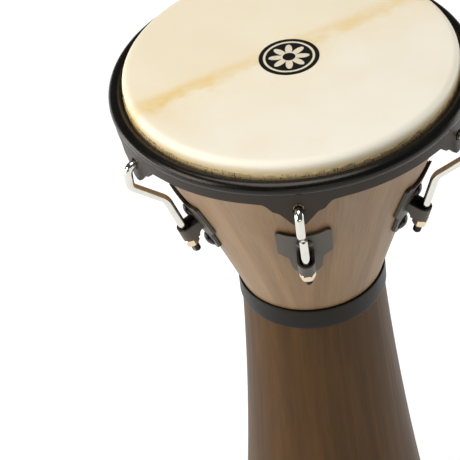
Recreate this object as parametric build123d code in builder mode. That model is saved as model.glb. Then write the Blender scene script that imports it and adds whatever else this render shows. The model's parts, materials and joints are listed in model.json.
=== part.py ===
from build123d import *
import os
from math import atan2, cos, hypot, radians, sin, sqrt

os.makedirs("parts", exist_ok=True)

# A hand drum in the goblet shape: a wooden bowl glued to a wooden pipe, a goatskin head pulled
# over the bowl's edge by a steel rim, and six hooked rods that pull the rim down.
# Millimetres, +Z up, origin on the floor under the drum's axis. Lug 1 faces -Y.

# ---- wooden shell
pipe_height = 361.5         # floor to the glue line under the waist band
bowl_depth = 258.5          # glue line to the playing surface
shell_radius = 151.0        # straight wall just under the bearing edge
neck_radius = 70.6          # waist, under the band
foot_radius = 103.0         # flare at the floor
bowl_wall = 13.0
pipe_wall = 11.0
bowl_sag = 2.8              # how far the flare of the bowl dips below a straight cone
pipe_sag = 3.7
shoulder_drop = 36.5        # playing surface to the corner of flare and straight wall
shoulder_round = 90.0       # radius that softens this corner
edge_round = 5.0            # outer round of the bearing edge
edge_flat = 1.0             # crest between the outer round and the inner bevel
tenon_length = 12.0         # step of the pipe that is glued into the bowl
tenon_wall = 5.5

# ---- waist band and foot ring
band_width = 23.2
band_thickness = 2.3
foot_ring_width = 16.0      # wood above the floor that the rubber covers
foot_ring_wall = 3.0
foot_ring_sole = 4.0        # rubber under the wood

# ---- skin
skin_thickness = 1.2
skin_gap = 0.3              # skin to the shell's straight wall
skin_turn_drop = 9.0        # playing surface to the end of the part that never moves
hoop_size = 6.0             # flesh hoop, round steel
badge_size = 55.0
badge_thickness = 0.3

# ---- rim
rim_drop = 20.0             # playing surface to the centre of the round bar
bar_size = 13.4
bar_gap = 1.1               # bar to the skin's wall
clamp_gap = 0.1             # bar to the wrapped hoop
skirt_thickness = 3.0
skirt_inset = 2.0           # bar's outside to the skirt's outside
skirt_depth = 14.3          # below the centre of the bar
tab_half_width = 22.5
tab_shoulder = 22.6         # depths below the centre of the bar
tab_depth = 38.9
tab_step = 6.0              # side of the tab to the start of its point
tab_draft = 6.5             # the tab's sides narrow by this much
tab_fall = 2.2              # slope of the short lines beside the tab
tab_lead = 0.6              # the skirt's edge falls by this much before the tab
tab_tip_half_width = 5.5
tab_tip_rise = 1.6
tab_hole = 10.0
tab_hole_bevel = 0.7

# ---- hooked tuning rods
lug_count = 6
rod_size = 8.0
hook_drop = 21.3            # centre of the bar to the rod in the tab
hook_seat_gap = 0.3         # rod to the bottom of the hole that it pulls on
hook_tip_reach = 4.5        # rod's tip inside the skirt
hook_reach = 7.8            # skirt to the outer run of the hook
hook_outer_run = 22.0       # length of the vertical run
hook_bends = [7.0, 9.0, 20.0]
rod_upper_drop = 74.3       # depth of the lower bend below the bar
rod_lower_drop = 148.5      # depth of the rod's end
rod_upper_offset = 14.6     # rod's axis to the bowl, radially, at these two depths
rod_lower_offset = 20.2

# ---- side plates with their receivers
plate_thickness = 2.7
gasket_thickness = 0.9
gasket_inset = 1.2
plate_top = 76.0            # depths below the centre of the bar
plate_dip = 86.0
plate_side_end = 115.0
plate_neck = 124.5
plate_half_width = 25.0
plate_neck_half_width = 15.5
lobe_radius = 14.0
lobe_drop = 137.5
receiver_drop = 113.6       # mouth, measured at the rod's axis
receiver_length = 15.0
receiver_width = 16.0
receiver_reach = 6.4        # rod's axis to the outside
receiver_wall = 2.0
receiver_floor = 3.0
receiver_bore = 8.8
receiver_round = 7.8        # outer corners
arch_radius = 5.0           # arch under the webs, between the nut and the plate
arch_gap = 8.2              # rod's axis to the arch

# ---- tuning nuts
nut_flats = 13.0
nut_height = 8.0
nut_bore = 8.2
nut_gap = 0.1               # nut to the receiver's floor

# ---- plate bolts
bolt_size = 6.0
bolt_hole = 6.4
bolt_drops = [96.5, 140.0]  # depths below the centre of the bar
dome_size = 15.0
dome_height = 4.0
dome_rise = 3.0             # spherical part of the height
head_gap = 0.03             # head over the plate, which is not flat
washer_size = 16.0
washer_thickness = 1.4
spot_face = 17.0
cap_nut_flats = 10.0
cap_nut_height = 5.0
bolt_end = 2.5              # thread past the inner nut
bolt_cut = 20.0             # depth of the bolt cutters under the wood's surface
overrun = 5.0               # cutters and masks run this far past what they cut

# ---- derived places
head_z = pipe_height + bowl_depth
shell_top = head_z - skin_thickness
rim_z = head_z - rim_drop
shoulder_z = head_z - shoulder_drop
neck_top = pipe_height + band_width / 2
neck_bottom = pipe_height - band_width / 2
neck_bore = neck_radius - pipe_wall

skin_inner = shell_radius + skin_gap
skin_outer = skin_inner + skin_thickness
skin_turn_z = head_z - skin_turn_drop
bar_radius = bar_size / 2
bar_centre = skin_outer + bar_gap + bar_radius
wrap_radius = hoop_size / 2 + skin_thickness
hoop_centre = skin_inner + wrap_radius
hoop_z = rim_z - sqrt((bar_radius + wrap_radius + clamp_gap) ** 2 - (bar_centre - hoop_centre) ** 2)
skirt_outer = bar_centre + bar_radius - skirt_inset
skirt_inner = skirt_outer - skirt_thickness
plate_out = gasket_thickness + plate_thickness

# The flare of the bowl is an arc through the neck and the shoulder, centred outside the drum.
flare_chord = hypot(shell_radius - neck_radius, shoulder_z - neck_top)
flare_radius = (flare_chord / 2) ** 2 / (2 * bowl_sag) + bowl_sag / 2
flare_tilt = atan2(shell_radius - neck_radius, shoulder_z - neck_top)
flare_centre_r = (shell_radius + neck_radius) / 2 + (flare_radius - bowl_sag) * cos(flare_tilt)
flare_centre_z = (shoulder_z + neck_top) / 2 - (flare_radius - bowl_sag) * sin(flare_tilt)


def bowl_radius(z, out=0.0):
    """Radius of the bowl's flare at height z, on a surface that lies `out` outside the wood."""
    return flare_centre_r - sqrt((flare_radius - out) ** 2 - (z - flare_centre_z) ** 2)


def bowl_tilt(z):
    """Angle between the flare and the vertical at height z, in radians."""
    return atan2(z - flare_centre_z, sqrt(flare_radius ** 2 - (z - flare_centre_z) ** 2))


def place(piece, name, index):
    """Turn the front copy of a piece to its lug, and write it."""
    with BuildPart() as placed:
        add(piece.part, rotation=(0, 0, index * 360 / lug_count))
    placed.part.label = name + "_" + str(index + 1)
    export_step(placed.part, "parts/" + placed.part.label + ".step")


# Front lug: the face plane looks along -Y, with x to the side and y up.
front_face = Plane(origin=(0, 0, 0), x_dir=(1, 0, 0), z_dir=(0, -1, 0))

# The rod's straight run stands off the flare.
rod_upper_z = rim_z - rod_upper_drop
rod_lower_z = rim_z - rod_lower_drop
rod_upper_r = bowl_radius(rod_upper_z) + rod_upper_offset
rod_lower_r = bowl_radius(rod_lower_z) + rod_lower_offset
rod_tilt = atan2(rod_upper_r - rod_lower_r, rod_upper_z - rod_lower_z)


def rod_plane(z):
    """Plane square to the front rod at height z: x to the side, y inward, z up the rod."""
    r = rod_lower_r + (z - rod_lower_z) * (rod_upper_r - rod_lower_r) / (rod_upper_z - rod_lower_z)
    return Plane(origin=(0, -r, z), x_dir=(1, 0, 0), z_dir=(0, -sin(rod_tilt), cos(rod_tilt)))


receiver_top = rod_plane(rim_z - receiver_drop)
receiver_base = receiver_top.offset(-receiver_length)
nut_top = receiver_base.offset(-nut_gap)
base_z = receiver_base.origin.Z
plate_clear = (-receiver_base.origin.Y - bowl_radius(base_z, plate_out)) * cos(rod_tilt)


def bolt_plane(z):
    """Plane on the wood at height z, square to it: z outward along the bolt."""
    tilt = bowl_tilt(z)
    return Plane(origin=(0, -bowl_radius(z), z), x_dir=(1, 0, 0), z_dir=(0, -cos(tilt), -sin(tilt)))


bolt_planes = [bolt_plane(rim_z - drop) for drop in bolt_drops]

# Cutter for the two bolt holes of a lug, with the flats that the inner washers sit on.
with BuildPart() as bolt_cutter:
    for plane in bolt_planes:
        with BuildSketch(plane.offset(plate_out + overrun)):
            Circle(bolt_hole / 2)
        extrude(amount=-(plate_out + bolt_cut + overrun))
        with BuildSketch(plane.offset(-bowl_wall)):
            Circle(spot_face / 2)
        extrude(amount=-(bolt_cut - bowl_wall))

# ---- bowl: flared outside, even wall, rounded and bevelled bearing edge
with BuildPart() as bowl_shell:
    with BuildSketch(Plane.XZ) as bowl_outline:
        with BuildLine():
            mid_z = (neck_top + shoulder_z) / 2
            Polyline((0, pipe_height), (neck_radius, pipe_height), (neck_radius, neck_top))
            ThreePointArc((neck_radius, neck_top), (bowl_radius(mid_z), mid_z), (shell_radius, shoulder_z))
            Polyline((shell_radius, shoulder_z), (shell_radius, shell_top), (0, shell_top), (0, pipe_height))
        make_face()
        fillet(bowl_outline.vertices().filter_by(lambda v: abs(v.Y - shoulder_z) < 0.01), radius=shoulder_round)
        fillet(bowl_outline.vertices().group_by(Axis.Y)[-1].sort_by(Axis.X)[-1], radius=edge_round)
    revolve(axis=Axis.Z)
    with BuildSketch(Plane.XZ) as bowl_hollow:
        with BuildLine():
            low_z = neck_top
            inner_z = shoulder_z
            inner_top = shell_radius - bowl_wall
            crest = shell_radius - edge_round - edge_flat
            bevel = crest - inner_top
            meet_z = flare_centre_z + sqrt((flare_radius + bowl_wall) ** 2 - (flare_centre_r - inner_top) ** 2)
            mid_z = (low_z + meet_z) / 2
            bore = bowl_radius(low_z, -bowl_wall)
            Polyline((0, pipe_height - 1), (neck_bore, pipe_height - 1), (neck_bore, pipe_height), (bore, low_z))
            ThreePointArc((bore, low_z), (bowl_radius(mid_z, -bowl_wall), mid_z), (inner_top, meet_z))
            Polyline((inner_top, meet_z), (inner_top, shell_top - bevel), (crest, shell_top),
                     (crest, shell_top + 1), (0, shell_top + 1), (0, pipe_height - 1))
        make_face()
        fillet(bowl_hollow.vertices().filter_by(lambda v: abs(v.Y - meet_z) < 0.01), radius=shoulder_round)
    revolve(axis=Axis.Z, mode=Mode.SUBTRACT)
    with BuildSketch(Plane.XY.offset(pipe_height)):
        Circle(neck_bore + tenon_wall)
    extrude(amount=tenon_length, mode=Mode.SUBTRACT)
    with PolarLocations(0, lug_count):
        add(bolt_cutter.part, mode=Mode.SUBTRACT)
bowl_shell.part.label = "bowl_shell"
export_step(bowl_shell.part, "parts/bowl_shell.step")

# ---- pipe: flared tube with the tenon on top
with BuildPart() as pipe_shell:
    with BuildSketch(Plane.XZ):
        with BuildLine():
            foot_z = foot_ring_sole
            sag_tilt = atan2(foot_radius - neck_radius, neck_bottom - foot_z)
            mid_r = (foot_radius + neck_radius) / 2 - pipe_sag * cos(sag_tilt)
            mid_z = (neck_bottom + foot_z) / 2 - pipe_sag * sin(sag_tilt)
            wall_r = pipe_wall * cos(sag_tilt)
            Line((neck_bore, pipe_height), (neck_bore, neck_bottom))
            ThreePointArc((neck_bore, neck_bottom), (mid_r - wall_r, mid_z), (foot_radius - wall_r, foot_z))
            Line((foot_radius - wall_r, foot_z), (foot_radius, foot_z))
            ThreePointArc((foot_radius, foot_z), (mid_r, mid_z), (neck_radius, neck_bottom))
            Polyline((neck_radius, neck_bottom), (neck_radius, pipe_height), (neck_bore, pipe_height))
        make_face()
    revolve(axis=Axis.Z)
    with BuildSketch(Plane.XY.offset(pipe_height)):
        Circle(neck_bore + tenon_wall)
        Circle(neck_bore, mode=Mode.SUBTRACT)
    extrude(amount=tenon_length)
    foot_cut = foot_z + foot_ring_width
    with BuildSketch(Plane.XY.offset(foot_z)):
        Circle(foot_radius + overrun)
        Circle(foot_radius - foot_ring_wall, mode=Mode.SUBTRACT)
    extrude(amount=foot_ring_width, mode=Mode.SUBTRACT)
pipe_shell.part.label = "pipe_shell"
export_step(pipe_shell.part, "parts/pipe_shell.step")

# ---- rubber ring let into the foot, with a sole under the wood
with BuildPart() as foot_ring:
    with BuildSketch(Plane.XZ) as foot_section:
        with BuildLine():
            Polyline((foot_radius - foot_ring_wall, foot_cut), (foot_radius - foot_ring_wall, foot_z),
                     (foot_radius - wall_r, foot_z), (foot_radius - wall_r, 0),
                     (foot_radius, 0), (foot_radius, foot_cut), (foot_radius - foot_ring_wall, foot_cut))
        make_face()
        fillet(foot_section.vertices().sort_by(Axis.Y)[0:2], radius=foot_ring_wall / 2)
    revolve(axis=Axis.Z)
foot_ring.part.label = "foot_ring"
export_step(foot_ring.part, "parts/foot_ring.step")

# ---- steel band that covers the glue line at the waist
with BuildPart() as waist_band:
    with BuildSketch(Plane.XZ) as band_section:
        with Locations((neck_radius + band_thickness / 2, pipe_height)):
            Rectangle(band_thickness, band_width)
        fillet(band_section.vertices().group_by(Axis.X)[-1], radius=band_thickness * 0.4)
    revolve(axis=Axis.Z)
waist_band.part.label = "waist_band"
export_step(waist_band.part, "parts/waist_band.step")

# ---- skin: the playing surface and its turn over the bearing edge
with BuildPart() as skin_head:
    with BuildSketch(Plane.XZ) as head_section:
        with BuildLine():
            Polyline((0, skin_turn_z), (skin_outer, skin_turn_z), (skin_outer, head_z), (0, head_z), (0, skin_turn_z))
        make_face()
        top_corner = head_section.vertices().group_by(Axis.Y)[-1].sort_by(Axis.X)[-1]
        fillet(top_corner, radius=edge_round + skin_thickness)
    revolve(axis=Axis.Z)
    with BuildSketch(Plane.XZ) as under_section:
        with BuildLine():
            Polyline((0, skin_turn_z - 1), (skin_inner, skin_turn_z - 1), (skin_inner, shell_top),
                     (0, shell_top), (0, skin_turn_z - 1))
        make_face()
        top_corner = under_section.vertices().group_by(Axis.Y)[-1].sort_by(Axis.X)[-1]
        fillet(top_corner, radius=edge_round)
    revolve(axis=Axis.Z, mode=Mode.SUBTRACT)
skin_head.part.label = "skin_head"
export_step(skin_head.part, "parts/skin_head.step")

# ---- skin: the collar between the bearing edge and the flesh hoop, which stretches
with BuildPart() as skin_collar:
    with BuildSketch(Plane.XY.offset(hoop_z)):
        Circle(skin_outer)
        Circle(skin_inner, mode=Mode.SUBTRACT)
    extrude(amount=skin_turn_z - hoop_z)
skin_collar.part.label = "skin_collar"
export_step(skin_collar.part, "parts/skin_collar.step")

# ---- skin: the tuck round the flesh hoop, open where the collar comes in
with BuildPart() as skin_tuck:
    with BuildSketch(Plane.XZ):
        with Locations((hoop_centre, hoop_z)):
            Circle(wrap_radius)
            Circle(hoop_size / 2, mode=Mode.SUBTRACT)
        with Locations((hoop_centre - wrap_radius / 2, hoop_z + wrap_radius / 2)):
            Rectangle(wrap_radius, wrap_radius, mode=Mode.SUBTRACT)
    revolve(axis=Axis.Z)
skin_tuck.part.label = "skin_tuck"
export_step(skin_tuck.part, "parts/skin_tuck.step")

# ---- flesh hoop inside the tuck
with BuildPart() as flesh_hoop:
    with BuildSketch(Plane.XZ):
        with Locations((hoop_centre, hoop_z)):
            Circle(hoop_size / 2)
    revolve(axis=Axis.Z)
flesh_hoop.part.label = "flesh_hoop"
export_step(flesh_hoop.part, "parts/flesh_hoop.step")

# ---- emblem disc on the playing surface
with BuildPart() as head_badge:
    with BuildSketch(Plane.XY.offset(head_z)):
        Circle(badge_size / 2)
    extrude(amount=badge_thickness)
head_badge.part.label = "head_badge"
export_step(head_badge.part, "parts/head_badge.step")

# ---- rim: round bar, skirt and six tabs, welded into one piece
with BuildPart() as skirt_mask:
    with BuildSketch(Plane.XY.offset(rim_z - skirt_depth)):
        Circle(skirt_outer + overrun)
    extrude(amount=skirt_depth)
    with BuildSketch(front_face) as tab_outline:
        with BuildLine():
            half = [(tab_half_width + 3 * tab_draft, -skirt_depth),
                    (tab_half_width + tab_draft, -skirt_depth - tab_lead),
                    (tab_half_width, -tab_shoulder), (tab_half_width - tab_step, -tab_shoulder - tab_fall),
                    (tab_tip_half_width, tab_tip_rise - tab_depth), (0, -tab_depth)]
            right = [(x, rim_z + y) for x, y in half]
            left = [(-x, rim_z + y) for x, y in reversed(half[:-1])]
            Polyline(*right, *left, (-half[0][0], rim_z), (half[0][0], rim_z), right[0])
        make_face()
        for depth, bend in [(skirt_depth + tab_lead, 9), (tab_shoulder, 5), (tab_shoulder + tab_fall, 7),
                            (tab_depth - tab_tip_rise, 6), (tab_depth, 6)]:
            corners = tab_outline.vertices().filter_by(
                lambda v: abs(v.Y - rim_z + depth) < 0.02 and abs(v.X) < tab_half_width + 2 * tab_draft)
            fillet(corners, radius=bend)
    tab_blank = extrude(amount=skirt_outer + overrun, mode=Mode.PRIVATE)
    with PolarLocations(0, lug_count):
        add(tab_blank)

with BuildPart() as rim:
    with BuildSketch(Plane.XZ):
        with Locations(((skirt_outer + skirt_inner) / 2, rim_z - tab_depth / 2)):
            Rectangle(skirt_thickness, tab_depth)
    revolve(axis=Axis.Z)
    add(skirt_mask.part, mode=Mode.INTERSECT)
    hole_z = rim_z - hook_drop + (tab_hole - rod_size) / 2 - hook_seat_gap
    with BuildSketch(front_face):
        with Locations((0, hole_z)):
            Circle(tab_hole / 2)
    tab_drill = extrude(amount=skirt_outer + overrun, mode=Mode.PRIVATE)
    with BuildSketch(front_face.offset(skirt_outer)):
        with Locations((0, hole_z)):
            Circle(tab_hole / 2 + tab_hole_bevel)
    tab_bevel = extrude(amount=-tab_hole_bevel, taper=45, mode=Mode.PRIVATE)
    with PolarLocations(0, lug_count):
        add(tab_drill, mode=Mode.SUBTRACT)
        add(tab_bevel, mode=Mode.SUBTRACT)
    with BuildSketch(Plane.XZ):
        with Locations((bar_centre, rim_z)):
            Circle(bar_radius)
    revolve(axis=Axis.Z)
rim.part.label = "rim"
export_step(rim.part, "parts/rim.step")

# ---- side plate: curved steel plate with a pocket for the rod
with BuildPart() as plate_outline_mask:
    with BuildSketch(front_face) as plate_outline:
        with BuildLine():
            side = [(plate_half_width, -plate_top), (plate_half_width, -plate_side_end),
                    (plate_neck_half_width, -plate_neck), (lobe_radius, -lobe_drop)]
            right = [(x, rim_z + y) for x, y in side]
            left = [(-x, rim_z + y) for x, y in reversed(side)]
            Polyline(*right)
            ThreePointArc(right[-1], (0, rim_z - lobe_drop - lobe_radius), left[0])
            Polyline(*left)
            ThreePointArc(left[-1], (0, rim_z - plate_dip), right[0])
        make_face()
        for depth, bend in [(plate_top, 3), (plate_side_end, 5), (plate_neck, 5)]:
            corners = plate_outline.vertices().filter_by(lambda v: abs(v.Y - rim_z + depth) < 0.02)
            fillet(corners, radius=bend)
    extrude(amount=shell_radius + overrun)

with BuildPart() as gasket_outline_mask:
    with BuildSketch(front_face):
        offset(plate_outline.sketch, amount=-gasket_inset, kind=Kind.INTERSECTION)
    extrude(amount=shell_radius + overrun)


def flare_band(inner, outer, low_z, high_z):
    """Section between two surfaces that follow the flare, for revolving about the axis."""
    middle = (low_z + high_z) / 2
    with BuildSketch(Plane.XZ) as band:
        with BuildLine():
            ThreePointArc((bowl_radius(low_z, inner), low_z), (bowl_radius(middle, inner), middle),
                          (bowl_radius(high_z, inner), high_z))
            Line((bowl_radius(high_z, inner), high_z), (bowl_radius(high_z, outer), high_z))
            ThreePointArc((bowl_radius(high_z, outer), high_z), (bowl_radius(middle, outer), middle),
                          (bowl_radius(low_z, outer), low_z))
            Line((bowl_radius(low_z, outer), low_z), (bowl_radius(low_z, inner), low_z))
        make_face()
    return band.sketch


plate_low = rim_z - lobe_drop - lobe_radius - overrun
plate_high = rim_z - plate_top + overrun

arch_y = arch_gap + arch_radius
rod_section = Plane(origin=receiver_base.origin, x_dir=receiver_base.y_dir, z_dir=(1, 0, 0))
web_reach = plate_clear + plate_out + overrun
with BuildPart() as pocket_core:
    with BuildSketch(receiver_top) as pocket:
        with Locations((0, (web_reach - receiver_reach + receiver_wall) / 2)):
            Rectangle(receiver_width - 2 * receiver_wall, web_reach + receiver_reach - receiver_wall)
        fillet(pocket.vertices().group_by(Axis.Y)[0], radius=receiver_round - receiver_wall)
    extrude(amount=-(receiver_length - receiver_floor))
    with BuildSketch(rod_section):
        with Locations((arch_y, 0)):
            Circle(arch_radius + receiver_floor)
        with Locations((arch_y + web_reach / 2, 0)):
            Rectangle(web_reach, 2 * (arch_radius + receiver_floor))
    extrude(amount=receiver_width, both=True, mode=Mode.SUBTRACT)

with BuildPart() as receiver:
    with BuildSketch(receiver_top) as pocket_outline:
        with Locations((0, (web_reach - receiver_reach) / 2)):
            Rectangle(receiver_width, receiver_reach + web_reach)
        fillet(pocket_outline.vertices().group_by(Axis.Y)[0], radius=receiver_round)
    extrude(amount=-receiver_length)
    with BuildSketch(rod_section):
        with Locations((arch_y, 0)):
            Circle(arch_radius)
        with Locations((arch_y + web_reach / 2, 0)):
            Rectangle(web_reach, 2 * arch_radius)
    extrude(amount=receiver_width, both=True, mode=Mode.SUBTRACT)

with BuildPart() as under_plate:
    add(flare_band(-bolt_cut, plate_out - plate_thickness / 2, plate_low, plate_high))
    revolve(axis=Axis.Z)

with BuildPart() as receiver_body:
    add(receiver.part)
    add(under_plate.part, mode=Mode.SUBTRACT)

with BuildPart() as under_face:
    add(flare_band(-bolt_cut, plate_out, plate_low, plate_high))
    revolve(axis=Axis.Z)

with BuildPart() as pocket_space:
    add(pocket_core.part)
    add(under_face.part, mode=Mode.SUBTRACT)

with BuildPart() as side_plate:
    add(flare_band(gasket_thickness, plate_out, plate_low, plate_high))
    revolve(axis=Axis.Z)
    add(plate_outline_mask.part, mode=Mode.INTERSECT)
    add(receiver_body.part)
    add(pocket_space.part, mode=Mode.SUBTRACT)
    with BuildSketch(receiver_base):
        Circle(receiver_bore / 2)
    extrude(amount=receiver_floor + overrun / 2, mode=Mode.SUBTRACT)
    add(bolt_cutter.part, mode=Mode.SUBTRACT)

with BuildPart() as plate_gasket:
    add(flare_band(0, gasket_thickness, plate_low, plate_high))
    revolve(axis=Axis.Z)
    add(gasket_outline_mask.part, mode=Mode.INTERSECT)
    add(bolt_cutter.part, mode=Mode.SUBTRACT)

# ---- hooked rod: tip in the tab's hole, down outside, in under the tab, down through the pocket
hole_run_z = rim_z - hook_drop
outer_r = skirt_outer + hook_reach
with BuildPart() as tuning_hook:
    with BuildLine():
        FilletPolyline((0, -(skirt_inner - hook_tip_reach), hole_run_z), (0, -outer_r, hole_run_z),
                       (0, -outer_r, hole_run_z - hook_outer_run), (0, -rod_upper_r, rod_upper_z),
                       (0, -rod_lower_r, rod_lower_z), radius=hook_bends)
    with BuildSketch(Plane(origin=(0, -(skirt_inner - hook_tip_reach), hole_run_z), z_dir=(0, -1, 0))):
        Circle(rod_size / 2)
    sweep()
    rod_ends = tuning_hook.edges().filter_by(GeomType.CIRCLE).group_by(Axis.Z)
    chamfer(rod_ends[0][0], length=rod_size * 0.2)
    chamfer(tuning_hook.edges().filter_by(GeomType.CIRCLE).sort_by(Axis.Y)[-1], length=rod_size * 0.12)

# ---- tuning nut, bevelled on both faces
nut_corner = nut_flats / 2 / cos(radians(30))
with BuildPart() as tuning_nut:
    with BuildSketch(nut_top):
        RegularPolygon(radius=nut_corner, side_count=6)
    extrude(amount=-nut_height)
    with BuildSketch(Plane(origin=nut_top.origin, x_dir=nut_top.x_dir, z_dir=-nut_top.y_dir)):
        with BuildLine():
            bevel = nut_corner - nut_flats / 2
            Polyline((0, 0), (nut_flats / 2, 0), (nut_corner, -bevel), (nut_corner, bevel - nut_height),
                     (nut_flats / 2, -nut_height), (0, -nut_height), (0, 0))
        make_face()
    revolve(axis=Axis(nut_top.origin, nut_top.z_dir), mode=Mode.INTERSECT)
    with BuildSketch(nut_top):
        Circle(nut_bore / 2)
    extrude(amount=-nut_height, mode=Mode.SUBTRACT)

for index in range(lug_count):
    place(side_plate, "side_plate", index)
    place(plate_gasket, "plate_gasket", index)
    place(tuning_hook, "tuning_hook", index)
    place(tuning_nut, "tuning_nut", index)

# ---- plate bolts, washers and inner nuts
with BuildPart() as bolt_pair:
    for plane in bolt_planes:
        head = plane.offset(plate_out + head_gap)
        with BuildSketch(Plane(origin=head.origin, x_dir=head.x_dir, z_dir=-head.y_dir)):
            with BuildLine():
                sphere = ((dome_size / 2) ** 2 + dome_rise ** 2) / (2 * dome_rise)
                halfway = dome_height - sphere + sqrt(sphere ** 2 - (dome_size / 4) ** 2)
                edge = dome_height - dome_rise
                Polyline((0, dome_height), (0, 0), (dome_size / 2, 0), (dome_size / 2, edge))
                ThreePointArc((dome_size / 2, edge), (dome_size / 4, halfway), (0, dome_height))
            make_face()
        revolve(axis=Axis(head.origin, head.z_dir))
        with BuildSketch(head):
            Circle(bolt_size / 2)
        extrude(amount=-(plate_out + head_gap + bowl_wall + washer_thickness + cap_nut_height + bolt_end))

with BuildPart() as washer_pair:
    for plane in bolt_planes:
        with BuildSketch(plane.offset(-bowl_wall)):
            Circle(washer_size / 2)
            Circle(bolt_hole / 2, mode=Mode.SUBTRACT)
        extrude(amount=-washer_thickness)

with BuildPart() as inner_nut_pair:
    for plane in bolt_planes:
        with BuildSketch(plane.offset(-bowl_wall - washer_thickness)):
            RegularPolygon(radius=cap_nut_flats / 2 / cos(radians(30)), side_count=6)
            Circle(bolt_size / 2, mode=Mode.SUBTRACT)
        extrude(amount=-cap_nut_height)

for pair, name in [(bolt_pair, "plate_bolts"), (washer_pair, "inner_washers"), (inner_nut_pair, "inner_nuts")]:
    with BuildPart() as ring_of_pairs:
        with PolarLocations(0, lug_count):
            add(pair.part)
    ring_of_pairs.part.label = name
    export_step(ring_of_pairs.part, "parts/" + name + ".step")
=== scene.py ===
import bpy
import json
from math import atan2, cos, pi, radians, sin, sqrt
from mathutils import Matrix, Vector


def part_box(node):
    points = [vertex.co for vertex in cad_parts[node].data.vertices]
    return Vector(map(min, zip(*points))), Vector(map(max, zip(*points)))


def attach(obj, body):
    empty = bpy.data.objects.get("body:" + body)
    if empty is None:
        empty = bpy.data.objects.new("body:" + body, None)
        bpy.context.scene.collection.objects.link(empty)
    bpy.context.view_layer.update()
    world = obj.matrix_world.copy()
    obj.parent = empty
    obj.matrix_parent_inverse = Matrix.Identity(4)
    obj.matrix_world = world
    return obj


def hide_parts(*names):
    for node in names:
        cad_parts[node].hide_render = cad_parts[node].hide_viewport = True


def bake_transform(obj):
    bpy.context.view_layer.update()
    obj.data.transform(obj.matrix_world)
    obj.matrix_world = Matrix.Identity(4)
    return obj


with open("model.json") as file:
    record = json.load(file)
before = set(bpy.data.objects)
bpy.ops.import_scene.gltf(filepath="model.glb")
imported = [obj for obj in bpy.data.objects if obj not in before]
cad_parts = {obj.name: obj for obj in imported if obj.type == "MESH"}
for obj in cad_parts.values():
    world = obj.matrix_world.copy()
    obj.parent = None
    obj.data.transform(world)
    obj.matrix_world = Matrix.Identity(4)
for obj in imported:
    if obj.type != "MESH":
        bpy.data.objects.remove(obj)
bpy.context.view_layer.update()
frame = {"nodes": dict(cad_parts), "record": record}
lugs = 6
print("frame loaded,", len(frame["nodes"]), "nodes")


# small helpers

def deselectAll():
    if bpy.context.object and bpy.context.object.mode != "OBJECT":
        bpy.ops.object.mode_set(mode="OBJECT")
    bpy.ops.object.select_all(action="DESELECT")


def pick(piece, kind, test):
    # selects vertices, edges or faces by place, and stays in edit mode
    bpy.ops.object.mode_set(mode="EDIT")
    bpy.ops.mesh.select_mode(type=kind)
    bpy.ops.mesh.select_all(action="DESELECT")
    bpy.ops.object.mode_set(mode="OBJECT")
    items = {"VERT": piece.data.vertices, "EDGE": piece.data.edges, "FACE": piece.data.polygons}[kind]
    for item in items:
        item.select = test(item)
    bpy.ops.object.mode_set(mode="EDIT")


def drawWire(name, points):
    # one vertex, extruded from point to point
    deselectAll()
    bpy.ops.mesh.primitive_plane_add(size=0.002, location=points[0])
    wire = bpy.context.object
    wire.name = name
    bpy.ops.object.mode_set(mode="EDIT")
    bpy.ops.mesh.select_mode(type="VERT")
    bpy.ops.mesh.select_all(action="SELECT")
    bpy.ops.mesh.merge(type="CENTER")
    for start, end in zip(points, points[1:]):
        step = Vector(end) - Vector(start)
        bpy.ops.mesh.extrude_region_move(TRANSFORM_OT_translate={"value": step})
    bpy.ops.object.mode_set(mode="OBJECT")
    bpy.ops.object.transform_apply(location=True, rotation=True, scale=True)
    return wire


def spinProfile(name, outline, steps, closed=False):
    # outline is (radius, height) pairs in metres, turned once round Z
    points = [(r, 0, z) for r, z in outline]
    if closed:
        points.append(points[0])
    piece = drawWire(name, points)
    bpy.ops.object.mode_set(mode="EDIT")
    bpy.ops.mesh.select_all(action="SELECT")
    bpy.ops.mesh.spin(steps=steps, angle=2 * pi, center=(0, 0, 0), axis=(0, 0, 1))
    bpy.ops.mesh.select_all(action="SELECT")
    bpy.ops.mesh.remove_doubles(threshold=0.00002)
    bpy.ops.mesh.normals_make_consistent(inside=False)
    bpy.ops.object.mode_set(mode="OBJECT")
    return piece


def arcPoints(centre, radius, start, end, count):
    # points on an arc in the profile plane, angles in degrees from +R towards +Z
    steps = [radians(start + (end - start) * k / count) for k in range(count + 1)]
    return [(centre[0] + radius * cos(a), centre[1] + radius * sin(a)) for a in steps]


def applyAll(piece):
    deselectAll()
    piece.select_set(True)
    bpy.context.view_layer.objects.active = piece
    for modifier in list(piece.modifiers):
        bpy.ops.object.modifier_apply(modifier=modifier.name)


def settle(piece):
    # the place goes into the mesh
    deselectAll()
    piece.select_set(True)
    bpy.context.view_layer.objects.active = piece
    bpy.ops.object.transform_apply(location=True, rotation=True, scale=True)


def smooth(piece, degrees=35):
    deselectAll()
    piece.select_set(True)
    bpy.context.view_layer.objects.active = piece
    bpy.ops.object.shade_smooth_by_angle(angle=radians(degrees))


def joinInto(first, *others):
    deselectAll()
    for other in others:
        other.select_set(True)
    first.select_set(True)
    bpy.context.view_layer.objects.active = first
    bpy.ops.object.join()
    return first


def copyToLug(piece, index, name):
    # a copy with its own mesh, turned to its lug
    copy = piece.copy()
    copy.data = piece.data.copy()
    copy.name = name
    bpy.context.collection.objects.link(copy)
    copy.rotation_euler = (0, 0, index * 2 * pi / lugs)
    settle(copy)
    return copy


def hexLinear(code):
    # sRGB hex to the linear colour that Blender wants
    parts = [int(code[k:k + 2], 16) / 255 for k in (1, 3, 5)]
    return tuple(c / 12.92 if c <= 0.04045 else ((c + 0.055) / 1.055) ** 2.4 for c in parts) + (1,)


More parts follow.
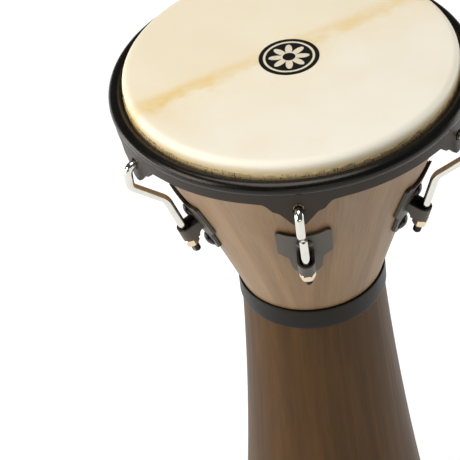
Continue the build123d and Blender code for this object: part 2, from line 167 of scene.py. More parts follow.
def addNode(tree, kind, settings=None, inputs=None):
    # inputs are values, sockets, or nodes that give their first output
    node = tree.nodes.new("ShaderNode" + kind)
    for key, value in (settings or {}).items():
        setattr(node, key, value)
    for key, value in (inputs or {}).items():
        if isinstance(value, bpy.types.Node):
            value = value.outputs[0]
        if isinstance(value, bpy.types.NodeSocket):
            tree.links.new(value, node.inputs[key])
        else:
            node.inputs[key].default_value = value
    return node


def newMaterial(name):
    material = bpy.data.materials.new(name)
    material.use_nodes = True
    tree = material.node_tree
    tree.nodes.clear()
    output = tree.nodes.new("ShaderNodeOutputMaterial")
    shader = tree.nodes.new("ShaderNodeBsdfPrincipled")
    tree.links.new(shader.outputs[0], output.inputs[0])
    place = addNode(tree, "TexCoord").outputs["Object"]
    return material, tree, shader, place


def paint(node, material):
    for slot in frame["nodes"][node].material_slots:
        slot.material = material


# finishes

woodLook = {
    "meanRadius": 0.11,             # of the drum, at which the grain has its true width
    "bandLength": 0.12,             # growth bands run eight times as long as wide
    "streakLength": 0.028,          # streaks and pores run far longer still
    "bandScale": 38,                # 26 mm bands
    "streakScale": 170,             # 6 mm streaks
    "poreScale": 1100,              # dashes under 1 mm wide
    "streakShare": 0.24,
    "poreDepth": 0.30,
    "rampEnds": (0.26, 0.74),
    "relief": 0.0006,
}


def makeWood(name, light, dark, pore, gloss, look):
    # walnut-coloured wash on solid wood, grain up the drum, satin lacquer over open pores
    material, tree, shader, place = newMaterial(name)
    # the grain follows the flare, so round the drum it goes by angle and not by place
    level = addNode(tree, "VectorMath", {"operation": "MULTIPLY"}, {0: place, 1: (1, 1, 0)})
    facing = addNode(tree, "VectorMath", {"operation": "NORMALIZE"}, {0: level.outputs[0]})
    around = addNode(tree, "VectorMath", {"operation": "SCALE"},
                     {0: facing.outputs[0], "Scale": look["meanRadius"]})
    rise = addNode(tree, "VectorMath", {"operation": "MULTIPLY"}, {0: place, 1: (0, 0, 1)})
    unrolled = addNode(tree, "VectorMath", {"operation": "ADD"}, {0: around.outputs[0], 1: rise.outputs[0]})
    unrolled = unrolled.outputs[0]
    broad = addNode(tree, "Mapping", None, {"Vector": unrolled, "Scale": (1, 1, look["bandLength"])})
    fine = addNode(tree, "Mapping", None, {"Vector": unrolled, "Scale": (1, 1, look["streakLength"])})
    bands = addNode(tree, "TexNoise", None,
                    {"Vector": broad.outputs[0], "Scale": look["bandScale"], "Detail": 4,
                     "Roughness": 0.6, "Distortion": 0.6})
    streaks = addNode(tree, "TexNoise", None,
                      {"Vector": fine.outputs[0], "Scale": look["streakScale"],
                       "Detail": 3, "Roughness": 0.65})
    pores = addNode(tree, "TexNoise", None,
                    {"Vector": fine.outputs[0], "Scale": look["poreScale"], "Detail": 1, "Roughness": 0.4})
    mixed = addNode(tree, "Mix", {"data_type": "FLOAT"},
                    {0: look["streakShare"], 2: bands.outputs["Fac"], 3: streaks.outputs["Fac"]})
    ramp = addNode(tree, "ValToRGB", None, {0: mixed.outputs[0]})
    for stop, position, colour in zip(ramp.color_ramp.elements, look["rampEnds"], (dark, light)):
        stop.position = position
        stop.color = hexLinear(colour)
    poreMask = addNode(tree, "MapRange", {"clamp": True},
                       {0: pores.outputs["Fac"], 1: 0.28, 2: 0.42, 3: look["poreDepth"], 4: 0.0})
    tone = addNode(tree, "Mix", {"data_type": "RGBA", "blend_type": "MIX"},
                   {0: poreMask.outputs[0], 6: ramp.outputs[0], 7: hexLinear(pore)})
    tree.links.new(tone.outputs[2], shader.inputs["Base Color"])
    rough = addNode(tree, "MapRange", None, {0: streaks.outputs["Fac"], 1: 0.3, 2: 0.7, 3: 0.40, 4: 0.55})
    tree.links.new(rough.outputs[0], shader.inputs["Roughness"])
    shader.inputs["IOR"].default_value = 1.5
    shader.inputs["Specular IOR Level"].default_value = gloss       # the wash soaks in and leaves little
    relief = addNode(tree, "Bump", None,
                     {"Height": mixed.outputs[0], "Strength": 0.18, "Distance": look["relief"]})
    tree.links.new(relief.outputs[0], shader.inputs["Normal"])
    return material


def makeCoat(name, colour, roughness, grain, gloss=0.5):
    # thermoset powder coat on steel, with a faint orange peel
    material, tree, shader, place = newMaterial(name)
    peel = addNode(tree, "TexNoise", None, {"Vector": place, "Scale": grain, "Detail": 2})
    wear = addNode(tree, "TexNoise", None, {"Vector": place, "Scale": 45, "Detail": 5, "Roughness": 0.7})
    tone = addNode(tree, "Mix", {"data_type": "RGBA"},
                   {0: wear.outputs["Fac"], 6: hexLinear(colour[0]), 7: hexLinear(colour[1])})
    tree.links.new(tone.outputs[2], shader.inputs["Base Color"])
    rough = addNode(tree, "MapRange", None,
                    {0: wear.outputs["Fac"], 1: 0.3, 2: 0.7, 3: roughness - 0.05, 4: roughness + 0.06})
    tree.links.new(rough.outputs[0], shader.inputs["Roughness"])
    shader.inputs["IOR"].default_value = 1.52
    shader.inputs["Specular IOR Level"].default_value = gloss
    shader.inputs["Specular Tint"].default_value = (1.0, 0.90, 0.80, 1)     # warm cast of the binder
    relief = addNode(tree, "Bump", None,
                     {"Height": peel.outputs["Fac"], "Strength": 0.12, "Distance": 0.0003})
    tree.links.new(relief.outputs[0], shader.inputs["Normal"])
    return material


def makeMetal(name, colour, low, high, grain):
    # plated steel: the roughness wanders with handling
    material, tree, shader, place = newMaterial(name)
    smear = addNode(tree, "TexNoise", None, {"Vector": place, "Scale": grain, "Detail": 4, "Roughness": 0.6})
    tone = addNode(tree, "Mix", {"data_type": "RGBA"},
                   {0: smear.outputs["Fac"], 6: hexLinear(colour[0]), 7: hexLinear(colour[1])})
    tree.links.new(tone.outputs[2], shader.inputs["Base Color"])
    rough = addNode(tree, "MapRange", None, {0: smear.outputs["Fac"], 1: 0.3, 2: 0.7, 3: low, 4: high})
    tree.links.new(rough.outputs[0], shader.inputs["Roughness"])
    shader.inputs["Metallic"].default_value = 1.0
    return material


def makeRubber(name, colour):
    # moulded EPDM, matt with a fine sandy texture
    material, tree, shader, place = newMaterial(name)
    sand = addNode(tree, "TexNoise", None, {"Vector": place, "Scale": 1400, "Detail": 2})
    dust = addNode(tree, "TexNoise", None, {"Vector": place, "Scale": 30, "Detail": 5, "Roughness": 0.7})
    tone = addNode(tree, "Mix", {"data_type": "RGBA"},
                   {0: dust.outputs["Fac"], 6: hexLinear(colour[0]), 7: hexLinear(colour[1])})
    tree.links.new(tone.outputs[2], shader.inputs["Base Color"])
    shader.inputs["Roughness"].default_value = 0.78
    relief = addNode(tree, "Bump", None,
                     {"Height": sand.outputs["Fac"], "Strength": 0.3, "Distance": 0.0003})
    tree.links.new(relief.outputs[0], shader.inputs["Normal"])
    return material


skinLook = {
    "spineAngle": radians(28.8),    # the darker stripe of the animal's spine crosses the head here
    "spineOffset": 0.0125,
    "spineWidth": 0.0105,
    "spineWander": 0.030,
    "haloWidth": 0.060,             # a wide faint glow round the stripe
    "lean": 2.4,                    # how fast the hide whitens to one side, a metre
    "clouds": 1.3,
    "cream": "#f8ebcf",
    "ivory": "#fcf6e6",
    "amber": "#f0cf82",
    "wall": "#efdba6",
    "tan": "#b08a4c",
    "hair": "#5b4020",
}


def makeSkin(name, look):
    # dry shaved goatskin: cloudy cream, an amber spine stripe, follicles, yellower where it turns down
    material, tree, shader, place = newMaterial(name)
    add, subtract, multiply = [{"operation": word} for word in ("ADD", "SUBTRACT", "MULTIPLY")]
    soft = {"interpolation_type": "SMOOTHSTEP"}
    x, y, z = addNode(tree, "SeparateXYZ", None, {0: place}).outputs
    clouds = addNode(tree, "TexNoise", None,        # 80 mm
                     {"Vector": place, "Scale": 13, "Detail": 5, "Roughness": 0.55})
    patches = addNode(tree, "TexNoise", None,       # 28 mm
                      {"Vector": place, "Scale": 36, "Detail": 4, "Roughness": 0.6})
    pores = addNode(tree, "TexNoise", None,         # follicles about 1 mm apart
                    {"Vector": place, "Scale": 900, "Detail": 2, "Roughness": 0.5})
    squareX = addNode(tree, "Math", multiply, {0: x, 1: x})
    squareY = addNode(tree, "Math", multiply, {0: y, 1: y})
    square = addNode(tree, "Math", add, {0: squareX, 1: squareY})
    radius = addNode(tree, "Math", {"operation": "SQRT"}, {0: square})

    # creamier to one side of the hide, whiter to the other, with faint clouds
    side = addNode(tree, "Math", subtract, {0: x, 1: y})
    lean = addNode(tree, "Math", multiply, {0: side, 1: look["lean"]})
    cloud = addNode(tree, "Math", multiply, {0: clouds, 1: look["clouds"]})
    cloudy = addNode(tree, "Math", add, {0: lean, 1: cloud})
    whiter = addNode(tree, "MapRange", soft, {0: cloudy, 1: 0.10, 2: 1.25, 3: 0, 4: 1})

    # how far across the spine stripe a point lies, wandering a little
    spineX, spineY = cos(look["spineAngle"]), sin(look["spineAngle"])
    acrossX = addNode(tree, "Math", multiply, {0: x, 1: -spineY})
    acrossY = addNode(tree, "Math", multiply, {0: y, 1: spineX})
    across = addNode(tree, "Math", add, {0: acrossX, 1: acrossY})
    fromSpine = addNode(tree, "Math", subtract, {0: across, 1: look["spineOffset"]})
    uneven = addNode(tree, "Math", subtract, {0: patches, 1: 0.5})
    wander = addNode(tree, "Math", multiply, {0: uneven, 1: look["spineWander"]})
    wavy = addNode(tree, "Math", add, {0: fromSpine, 1: wander})
    offLine = addNode(tree, "Math", {"operation": "ABSOLUTE"}, {0: wavy})
    core = addNode(tree, "MapRange", soft,
                   {0: offLine, 1: look["spineWidth"] * 0.25, 2: look["spineWidth"] * 1.5, 3: 1, 4: 0})
    alongX = addNode(tree, "Math", multiply, {0: x, 1: spineX})
    alongY = addNode(tree, "Math", multiply, {0: y, 1: spineY})
    along = addNode(tree, "Math", add, {0: alongX, 1: alongY})
    fade = addNode(tree, "MapRange", soft, {0: along, 1: -0.02, 2: -0.10, 3: 0.55, 4: 1.0})
    mottle = addNode(tree, "MapRange", soft, {0: patches, 1: 0.35, 2: 0.65, 3: 0.45, 4: 1})
    faded = addNode(tree, "Math", multiply, {0: core, 1: fade})
    stripe = addNode(tree, "Math", multiply, {0: faded, 1: mottle})
    glow = addNode(tree, "MapRange", soft, {0: offLine, 1: 0.0, 2: look["haloWidth"], 3: 0.20, 4: 0})
    halo = addNode(tree, "Math", multiply, {0: glow, 1: mottle})

    # painted highlight: an ivory arc over the bearing edge, then the yellower wall
    outer = addNode(tree, "MapRange", soft, {0: radius, 1: 0.1440, 2: 0.1470, 3: 0, 4: 0.25})
    high = addNode(tree, "MapRange", soft, {0: z, 1: 0.6140, 2: 0.6185, 3: 0, 4: 1})
    paintedCrestHighlight = addNode(tree, "Math", multiply, {0: outer, 1: high})
    wall = addNode(tree, "MapRange", soft, {0: z, 1: 0.6175, 2: 0.6080, 3: 0, 4: 0.8})

    # trimmed edge with the stubble of the shaved hair
    edge = addNode(tree, "MapRange", soft, {0: radius, 1: 0.15255, 2: 0.15275, 3: 0, 4: 1})
    trimmed = addNode(tree, "Math", multiply, {0: edge, 1: 0.55})
    bristles = addNode(tree, "Mapping", None, {"Vector": place, "Scale": (1, 1, 0.35)})
    stubble = addNode(tree, "TexNoise", None,       # 1.6 mm tufts
                      {"Vector": bristles, "Scale": 620, "Detail": 2})
    tufts = addNode(tree, "MapRange", soft, {0: stubble, 1: 0.55, 2: 0.66, 3: 0, 4: 0.8})
    hair = addNode(tree, "Math", multiply, {0: edge, 1: tufts})
    freckles = addNode(tree, "MapRange", soft, {0: pores, 1: 0.34, 2: 0.26, 3: 0, 4: 0.16})

    tone = hexLinear(look["cream"])
    layers = ((whiter, "ivory"), (stripe, "amber"), (halo, "amber"), (paintedCrestHighlight, "ivory"), (wall, "wall"),
              (trimmed, "tan"), (hair, "hair"), (freckles, "tan"))
    for share, colour in layers:
        mixed = addNode(tree, "Mix", {"data_type": "RGBA"}, {0: share, 6: tone, 7: hexLinear(look[colour])})
        tone = mixed.outputs[2]
    tree.links.new(tone, shader.inputs["Base Color"])
    rough = addNode(tree, "MapRange", soft, {0: clouds, 1: 0.35, 2: 0.65, 3: 0.52, 4: 0.66})
    tree.links.new(rough.outputs[0], shader.inputs["Roughness"])
    shader.inputs["IOR"].default_value = 1.45
    fineRelief = addNode(tree, "Math", multiply, {0: pores, 1: 0.35})
    height = addNode(tree, "Math", add, {0: fineRelief, 1: patches})
    relief = addNode(tree, "Bump", None, {"Height": height, "Strength": 0.12, "Distance": 0.0008})
    tree.links.new(relief.outputs[0], shader.inputs["Normal"])
    return material


badgeLook = {
    "petals": 8,
    "petalRoot": 0.0065,
    "petalTip": 0.0185,
    "ring": 0.0225,
    "ringWidth": 0.0011,
    "ground": "#0a0807",
    "ink": "#e9dfc6",
}


def makeBadgeFilm(name, look):
    # printed vinyl, a plain eight-petalled flower in a ring
    material, tree, shader, place = newMaterial(name)
    add, subtract, multiply = [{"operation": word} for word in ("ADD", "SUBTRACT", "MULTIPLY")]
    absolute, under, over = [{"operation": word} for word in ("ABSOLUTE", "LESS_THAN", "GREATER_THAN")]
    x, y = addNode(tree, "SeparateXYZ", None, {0: place}).outputs[:2]
    squareX = addNode(tree, "Math", multiply, {0: x, 1: x})
    squareY = addNode(tree, "Math", multiply, {0: y, 1: y})
    square = addNode(tree, "Math", add, {0: squareX, 1: squareY})
    radius = addNode(tree, "Math", {"operation": "SQRT"}, {0: square})
    angle = addNode(tree, "Math", {"operation": "ARCTAN2"}, {0: y, 1: x})
    turned = addNode(tree, "Math", multiply, {0: angle, 1: look["petals"] / 2})
    wave = addNode(tree, "Math", {"operation": "COSINE"}, {0: turned})
    lobes = addNode(tree, "Math", absolute, {0: wave})
    reach = addNode(tree, "Math", multiply, {0: lobes, 1: look["petalTip"] - look["petalRoot"]})
    tip = addNode(tree, "Math", add, {0: reach, 1: look["petalRoot"]})
    inside = addNode(tree, "Math", under, {0: radius, 1: tip})
    outside = addNode(tree, "Math", over, {0: radius, 1: look["petalRoot"] * 0.9})
    petal = addNode(tree, "Math", multiply, {0: inside, 1: outside})
    fromRing = addNode(tree, "Math", subtract, {0: radius, 1: look["ring"]})
    offRing = addNode(tree, "Math", absolute, {0: fromRing})
    ring = addNode(tree, "Math", under, {0: offRing, 1: look["ringWidth"]})
    mark = addNode(tree, "Math", {"operation": "MAXIMUM"}, {0: petal, 1: ring})
    ink = addNode(tree, "TexNoise", None, {"Vector": place, "Scale": 700, "Detail": 2})     # 1.4 mm
    worn = addNode(tree, "MapRange", None, {0: ink, 1: 0.3, 2: 0.5, 3: 0.86, 4: 1.0})
    printed = addNode(tree, "Math", multiply, {0: mark, 1: worn})
    tone = addNode(tree, "Mix", {"data_type": "RGBA"},
                   {0: printed, 6: hexLinear(look["ground"]), 7: hexLinear(look["ink"])})
    tree.links.new(tone.outputs[2], shader.inputs["Base Color"])
    shader.inputs["Roughness"].default_value = 0.6
    shader.inputs["Specular IOR Level"].default_value = 0.25
    relief = addNode(tree, "Bump", None, {"Height": ink, "Strength": 0.08, "Distance": 0.0002})
    tree.links.new(relief.outputs[0], shader.inputs["Normal"])
    return material


# pattern scales are cells a metre: 1100 is a 0.9 mm orange peel, 130 an 8 mm smear
bowlWood = makeWood("washed walnut bowl", "#987a56", "#6f5436", "#4e3922", 0.36, woodLook)
pipeWood = makeWood("washed walnut pipe", "#60411a", "#3c270c", "#291a09", 0.16, woodLook)
barCoat = makeCoat("black powder coat on the rim", ("#090807", "#0f0d0b"), 0.26, 1100, 0.3)
# the skirt carries the bar's black coat; its lighter warm brown base is a painted reflection of the floor
skirtCoatWithPaintedReflection = makeCoat("black powder coat on the skirt", ("#1b150f", "#231b14"), 0.42, 1100, 0.35)
# the plates carry the same black coat; their lighter grey base is a painted reflection of the floor below
plateCoatWithPaintedReflection = makeCoat("black powder coat on the plates", ("#3a362f", "#443f37"), 0.46, 1100)
bandCoat = makeCoat("black powder coat on the band", ("#0d0c0a", "#15130f"), 0.42, 700, 0.2)
chromePlate = makeMetal("bright chrome plate", ("#dfddd6", "#cfccc4"), 0.05, 0.12, 130)
threadMetal = makeMetal("greased steel thread", ("#6a6760", "#45433e"), 0.24, 0.38, 260)
# nickel tone, warmed further as a painted reflection of the wooden shell
nutPlateWithPaintedWoodReflection = makeMetal("nickel plate on the nuts, warmed by painted wood reflection", ("#e4d3b8", "#d0bc9c"), 0.14, 0.26, 130)
zincPlate = makeMetal("zinc plated steel", ("#b9bab8", "#9a9c9b"), 0.28, 0.42, 160)
rubber = makeRubber("moulded rubber", ("#141414", "#201f1d"))
goatskin = makeSkin("dry shaved goatskin", skinLook)
badgeFilm = makeBadgeFilm("printed vinyl film", badgeLook)
print("finishes ready")

paint("bowl_shell", bowlWood)
paint("pipe_shell", pipeWood)
paint("rim", skirtCoatWithPaintedReflection)
paint("flesh_hoop", zincPlate)
paint("foot_ring", rubber)
paint("head_badge", badgeFilm)
paint("plate_bolts", barCoat)
paint("inner_washers", zincPlate)
paint("inner_nuts", zincPlate)
for lug in range(lugs):
    paint(f"side_plate_{lug + 1}", plateCoatWithPaintedReflection)
    paint(f"plate_gasket_{lug + 1}", rubber)
    paint(f"tuning_nut_{lug + 1}", nutPlateWithPaintedWoodReflection)

# skin: head, turn over the bearing edge and stretched collar

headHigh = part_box("skin_head")[1]
tuckLow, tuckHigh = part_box("skin_tuck")
skin = {
    "thickness": 0.0012,
    "outer": headHigh.x,
    "top": headHigh.z,
    "turn": 0.0062,             # outer radius over the bearing edge
    "hoop": (tuckLow.z + tuckHigh.z) / 2,
    "turnStart": 0.611,         # height where the wall starts to stretch
    "rings": 14,                # loops on the flat, for the blend and for light
    "turnLoops": 8,
    "wallLoops": 10,
    "steps": 240,
}
outerCorner = (skin["outer"] - skin["turn"], skin["top"] - skin["turn"])
wallDrop = outerCorner[1] - skin["hoop"]
flatRings = [outerCorner[0] * k / skin["rings"] for k in range(1, skin["rings"])]
wallRings = [outerCorner[1] - wallDrop * k / skin["wallLoops"] for k in range(1, skin["wallLoops"] + 1)]
upper = [(0, skin["top"])] + [(r, skin["top"]) for r in flatRings]
upper += arcPoints(outerCorner, skin["turn"], 90, 0, skin["turnLoops"])
upper += [(skin["outer"], z) for z in wallRings]
inner = skin["outer"] - skin["thickness"]
under = skin["top"] - skin["thickness"]
lower = [(inner, z) for z in reversed(wallRings)]
lower += arcPoints(outerCorner, skin["turn"] - skin["thickness"], 0, 90, skin["turnLoops"])
lower += [(r, under) for r in reversed(flatRings)] + [(0, under)]
skinSheet = spinProfile("goatskin_head", upper + lower, skin["steps"])
smooth(skinSheet, 60)
skinSheet.data.materials.append(goatskin)
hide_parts("skin_head", "skin_collar")
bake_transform(skinSheet)

# skin: tuck round the flesh hoop, and the trimmed edge that stands up inside the bar

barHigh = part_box("rim")[1]
tuck = {
    "wrap": 0.0042,                     # outer radius round the hoop
    "wrapTurn": (180, 430),             # from the wall, under the hoop and up its outside
    "wrapLoops": 26,
    "edgeTop": barHigh.z + 0.0012,      # a hair above the bar
    "edgeThickness": 0.0007,
    "edgeGap": 0.00016,                 # to the wall of the head
    "edgeLoops": 5,
    "ragged": 0.0011,
    "steps": 300,
}
centre = (tuckLow.x * -1 - tuck["wrap"], skin["hoop"])
edgeR = skin["outer"] + tuck["edgeGap"]
wrapStart, wrapEnd = tuck["wrapTurn"]
wrapOut = arcPoints(centre, tuck["wrap"], wrapStart, wrapEnd, tuck["wrapLoops"])
wrapIn = arcPoints(centre, tuck["wrap"] - skin["thickness"], wrapEnd, wrapStart, tuck["wrapLoops"])
edgeFoot = wrapOut[-1][1] + 0.0006
edgeRise = tuck["edgeTop"] - edgeFoot
edgeRings = [edgeFoot + edgeRise * k / tuck["edgeLoops"] for k in range(tuck["edgeLoops"] + 1)]
standing = [(edgeR + tuck["edgeThickness"], z) for z in edgeRings]
standing += [(edgeR, tuck["edgeTop"] + 0.0001)]
standing += [(edgeR, z) for z in reversed(edgeRings[:-1])]
standing += [(edgeR, wrapIn[0][1] - 0.0002)]
tuckSheet = spinProfile("goatskin_tuck", wrapOut + standing + wrapIn, tuck["steps"], closed=True)
pick(tuckSheet, "VERT", lambda v: v.co.z > tuck["edgeTop"] - 0.0005)
bpy.ops.transform.vertex_random(offset=tuck["ragged"], uniform=0.0, normal=0.0, seed=7)
bpy.ops.object.mode_set(mode="OBJECT")
for vertex in tuckSheet.data.vertices:      # ragged in height only
    reach = sqrt(vertex.co.x ** 2 + vertex.co.y ** 2)
    if vertex.co.z > tuck["edgeTop"] - 0.004 and reach > 0.1:
        keep = min(max(reach, edgeR), edgeR + tuck["edgeThickness"]) / reach
        vertex.co.x *= keep
        vertex.co.y *= keep
smooth(tuckSheet, 60)
tuckSheet.data.materials.append(goatskin)
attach(tuckSheet, "rim")
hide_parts("skin_tuck")
print("skin ready")

# waist band, a strip of steel that was hammered round the glue line

bandLow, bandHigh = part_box("waist_band")
band = {
    "inner": 0.0706,
    "sunk": 0.0004,             # into the wood, so no gap shows where it ripples
    "edge": 0.0009,
    "ripple": 0.0009,
    "rippleSize": 0.045,
    "steps": 160,
}
outerR = band["inner"] + (bandHigh.x - band["inner"])
bandOutline = [(band["inner"] - band["sunk"], bandLow.z)]
bandOutline += arcPoints((outerR - band["edge"], bandLow.z + band["edge"]), band["edge"], 270, 360, 4)
bandOutline += [(outerR, bandLow.z + (bandHigh.z - bandLow.z) * k / 6) for k in range(1, 6)]
bandOutline += arcPoints((outerR - band["edge"], bandHigh.z - band["edge"]), band["edge"], 0, 90, 4)
bandOutline += [(band["inner"] - band["sunk"], bandHigh.z)]
waistBand = spinProfile("waist_band_hammered", bandOutline, band["steps"], closed=True)
ripple = bpy.data.textures.new("band ripple", "CLOUDS")
ripple.noise_scale = band["rippleSize"]
bend = waistBand.modifiers.new("ripple", "DISPLACE")
bend.texture = ripple
bend.texture_coords = "LOCAL"
bend.strength = band["ripple"]
bend.mid_level = 0.5
applyAll(waistBand)
smooth(waistBand)
waistBand.data.materials.append(bandCoat)
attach(waistBand, "shell")
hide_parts("waist_band")
print("waist band ready")

# rim: a finely rounded coat over the bar

bar = {"radius": 0.0067, "cover": 0.00004, "aroundBar": 40, "steps": 300}
barCentre = (barHigh.x - bar["radius"], barHigh.z - bar["radius"])
barRing = arcPoints(barCentre, bar["radius"] + bar["cover"], 0, 360, bar["aroundBar"])[:-1]
rimBar = spinProfile("rim_bar", barRing, bar["steps"], closed=True)
smooth(rimBar, 60)
rimBar.data.materials.append(barCoat)
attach(rimBar, "rim")
print("rim ready")

# hooked tuning rods

joints = {joint["name"]: joint for joint in frame["record"]["behaviour"]["joints"]}
rodAxis = Vector(joints["nut_1_turn"]["axis"])
nutPlace = Vector(joints["nut_1_turn"]["pos_m"])
hookLow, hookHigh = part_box("tuning_hook_1")
hook = {
    "radius": 0.004,
    "outerRun": 0.0220,         # straight run outside the tab
    "tip": hookHigh.y,          # the tip lies inside the skirt
    "bends": (0.0070, 0.0090, 0.0200),
    "bentDrop": 0.0743,         # from the bar's centre down to the lower bend
    "pitch": 0.00125,           # M8 coarse thread
    "turns": 26,
    "stepsPerTurn": 20,
    "core": 0.0033,
    "depthOfThread": 0.00072,
    "ribStart": 0.0012,         # above the rod's end
    "ribSpan": (0.00050, 0.00068, 0.00118),     # up its lower flank, its crest and its upper flank
    "point": 0.0017,            # height of the end's rounding
    "pointAngles": (20, 40, 60, 78, 90),
    "coreOverlap": 0.003,       # of the threaded core into the shank
    "coreSides": 36,
    "bendSegments": 12,
    "tubeResolution": 8,
    "crown": (0.0009, 0.0005),  # the tip's inset and rise
}
barCentreZ = barHigh.z - bar["radius"]
holeZ = hookHigh.z - hook["radius"]
outerY = hookLow.y + hook["radius"]
bentZ = barCentreZ - hook["bentDrop"]
bentPoint = nutPlace + rodAxis * ((bentZ - nutPlace.z) / rodAxis.z)
rodEnd = nutPlace - rodAxis * ((nutPlace.z - (hookLow.z + hook["radius"] * 0.3)) / rodAxis.z)
threadLength = hook["pitch"] * hook["turns"]
shankEnd = rodEnd + rodAxis * (threadLength + 0.0010)
corners = [Vector((0, hook["tip"], holeZ)), Vector((0, outerY, holeZ)),
           Vector((0, outerY, holeZ - hook["outerRun"])), bentPoint, shankEnd]
tuningRod = drawWire("tuning_rod_1", corners)
for corner, radius, before, after in zip(corners[1:4], hook["bends"], corners[0:3], corners[2:5]):
    turn = (corner - before).angle(after - corner)
    pick(tuningRod, "VERT", lambda v: (v.co - corner).length < 0.0005)
    reach = radius * abs(sin(turn / 2) / cos(turn / 2))
    bpy.ops.mesh.bevel(offset=reach, segments=hook["bendSegments"], profile=0.5, affect="VERTICES")
    bpy.ops.object.mode_set(mode="OBJECT")
deselectAll()
tuningRod.select_set(True)
bpy.context.view_layer.objects.active = tuningRod
bpy.ops.object.convert(target="CURVE")
tuningRod.data.bevel_depth = hook["radius"]
tuningRod.data.bevel_resolution = hook["tubeResolution"]
tuningRod.data.use_fill_caps = True
bpy.ops.object.convert(target="MESH")
tuningRod = bpy.context.object
# the caps are loose rings of the tube, so they are merged and eased into a low crown
bpy.ops.object.mode_set(mode="EDIT")
bpy.ops.mesh.select_all(action="SELECT")
bpy.ops.mesh.remove_doubles(threshold=0.00001)
bpy.ops.mesh.normals_make_consistent(inside=False)
pick(tuningRod, "FACE", lambda f: len(f.vertices) > 8 and (f.center - corners[0]).length < 0.001)
crownInset, crownRise = hook["crown"]
bpy.ops.mesh.inset(thickness=crownInset)
bpy.ops.transform.translate(value=(0, crownRise, 0))
bpy.ops.object.mode_set(mode="OBJECT")

# threaded end: a helical rib on a core, with a rounded point
tilt = atan2(-rodAxis.y, rodAxis.z)
ribRoot = hook["core"] - 0.0001
ribCrest = hook["core"] + hook["depthOfThread"] - 0.00006
crestLow, crestHigh, rootHigh = [hook["ribStart"] + rise for rise in hook["ribSpan"]]
rib = [(ribRoot, 0, hook["ribStart"]), (ribCrest, 0, crestLow),
       (ribCrest, 0, crestHigh), (ribRoot, 0, rootHigh)]
threadRib = drawWire("thread rib", rib + rib[:1])
bpy.ops.object.mode_set(mode="EDIT")
bpy.ops.mesh.select_all(action="SELECT")
bpy.ops.mesh.remove_doubles(threshold=0.000001)
bpy.ops.object.mode_set(mode="OBJECT")
winding = threadRib.modifiers.new("winding", "SCREW")
winding.axis = "Z"
winding.angle = 2 * pi
winding.screw_offset = hook["pitch"]
winding.iterations = hook["turns"]
winding.steps = hook["stepsPerTurn"]
winding.render_steps = hook["stepsPerTurn"]
winding.use_smooth_shade = False
applyAll(threadRib)
bpy.ops.object.mode_set(mode="EDIT")
bpy.ops.mesh.select_all(action="SELECT")
bpy.ops.mesh.remove_doubles(threshold=0.000005)
bpy.ops.mesh.fill_holes(sides=6)
bpy.ops.mesh.select_all(action="SELECT")
bpy.ops.mesh.normals_make_consistent(inside=False)
bpy.ops.object.mode_set(mode="OBJECT")
coreOutline = [(0, 0)]
for angle in hook["pointAngles"]:
    rounding = radians(angle)
    coreOutline.append((hook["core"] * sin(rounding), hook["point"] * (1 - cos(rounding))))
coreTop = threadLength + hook["coreOverlap"]
coreOutline += [(hook["core"], coreTop), (0, coreTop)]
threadCore = spinProfile("thread core", coreOutline, hook["coreSides"])
smooth(threadRib, 25)
smooth(threadCore, 40)
smooth(tuningRod, 40)
threadEnd = joinInto(threadCore, threadRib)
threadEnd.data.materials.append(threadMetal)
threadEnd.rotation_euler = (tilt, 0, 0)
threadEnd.location = rodEnd
settle(threadEnd)
tuningRod.data.materials.append(chromePlate)
joinInto(tuningRod, threadEnd)
tuningRod.name = "tuning_rod_1"
for lug in range(lugs):
    rod = tuningRod if lug == 0 else copyToLug(tuningRod, lug, f"tuning_rod_{lug + 1}")
    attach(rod, f"hook_{lug + 1}")
    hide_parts(f"tuning_hook_{lug + 1}")
print("tuning rods ready,", len(tuningRod.data.polygons), "faces each")

# floor, light and camera

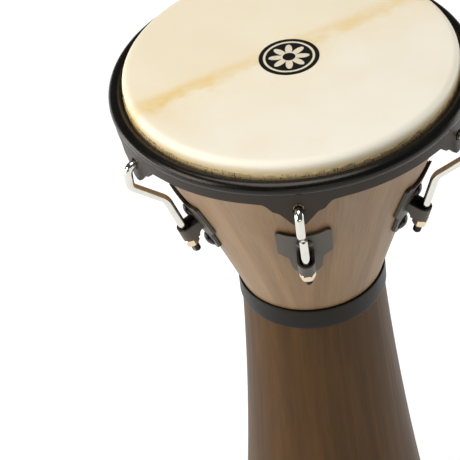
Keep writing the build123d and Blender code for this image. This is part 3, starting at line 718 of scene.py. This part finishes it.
studio = {
    "floorSize": 14,
    "floorTone": "#8c8c8b",
    "floorGlow": 0.93,
    "airTone": (1.0, 0.985, 0.96, 1),
    "airLight": 0.10,
    "softboxes": {      # place, aim, size, watts and colour
        "left softbox": ((-2.3, -1.1, 1.35), (0, 0, 0.45), (1.4, 1.4), 38, (1.0, 0.98, 0.95)),
        "overhead softbox": ((-0.2, -0.1, 2.7), (0, 0, 0.6), (1.6, 1.6), 36, (1.0, 0.985, 0.96)),
        "low front strip": ((0.5, -2.7, 0.95), (0, 0, 0.6), (1.8, 0.35), 5, (1.0, 0.99, 0.97)),
        "right edge strip": ((1.6, 0.5, 0.5), (0, 0, 0.35), (0.5, 1.2), 6, (1.0, 0.97, 0.92)),
        "low left strip": ((-1.5, 0.1, 0.25), (0, 0, 0.5), (1.0, 0.4), 5, (1.0, 0.98, 0.95)),
    },
}
deselectAll()
bpy.ops.mesh.primitive_plane_add(size=studio["floorSize"], location=(0, 0, -0.0003))
floor = bpy.context.object
floor.name = "floor"
floorPaint = bpy.data.materials.new("matt white floor")
floorPaint.use_nodes = True
floorShader = floorPaint.node_tree.nodes["Principled BSDF"]
floorShader.inputs["Base Color"].default_value = hexLinear(studio["floorTone"])
floorShader.inputs["Roughness"].default_value = 0.9
floorShader.inputs["Emission Color"].default_value = (1, 1, 1, 1)
floorShader.inputs["Emission Strength"].default_value = studio["floorGlow"]
floor.data.materials.append(floorPaint)

world = bpy.data.worlds.new("studio")
bpy.context.scene.world = world
world.use_nodes = True
world.node_tree.nodes["Background"].inputs[0].default_value = studio["airTone"]
world.node_tree.nodes["Background"].inputs[1].default_value = studio["airLight"]

for name, (place, aim, size, power, colour) in studio["softboxes"].items():
    data = bpy.data.lights.new(name, "AREA")
    data.shape = "RECTANGLE"
    data.size, data.size_y = size
    data.energy = power
    data.color = colour
    lamp = bpy.data.objects.new(name, data)
    bpy.context.collection.objects.link(lamp)
    lamp.location = place
    lamp.rotation_euler = (Vector(aim) - Vector(place)).to_track_quat("-Z", "Y").to_euler()

view = {
    "place": (0.04793, -1.33904, 1.5702),
    "aim": (-0.07496, -0.00268, 0.42401),
    "lens": 142.3,
    "roll": -0.1446,            # leans a little to one side
}
camera = bpy.data.objects.new("camera", bpy.data.cameras.new("camera"))
bpy.context.collection.objects.link(camera)
camera.data.lens = view["lens"]
camera.data.sensor_width = 36
forward = (Vector(view["aim"]) - Vector(view["place"])).normalized()
right = forward.cross(Vector((0, 0, 1))).normalized()
up = right.cross(forward)
rolledRight = right * cos(view["roll"]) + up * sin(view["roll"])
rolledUp = up * cos(view["roll"]) - right * sin(view["roll"])
turned = Matrix((rolledRight, rolledUp, -forward)).transposed().to_4x4()
camera.matrix_world = Matrix.Translation(view["place"]) @ turned
bpy.context.scene.camera = camera
bpy.context.scene.view_settings.view_transform = "Standard"
print("stage ready")
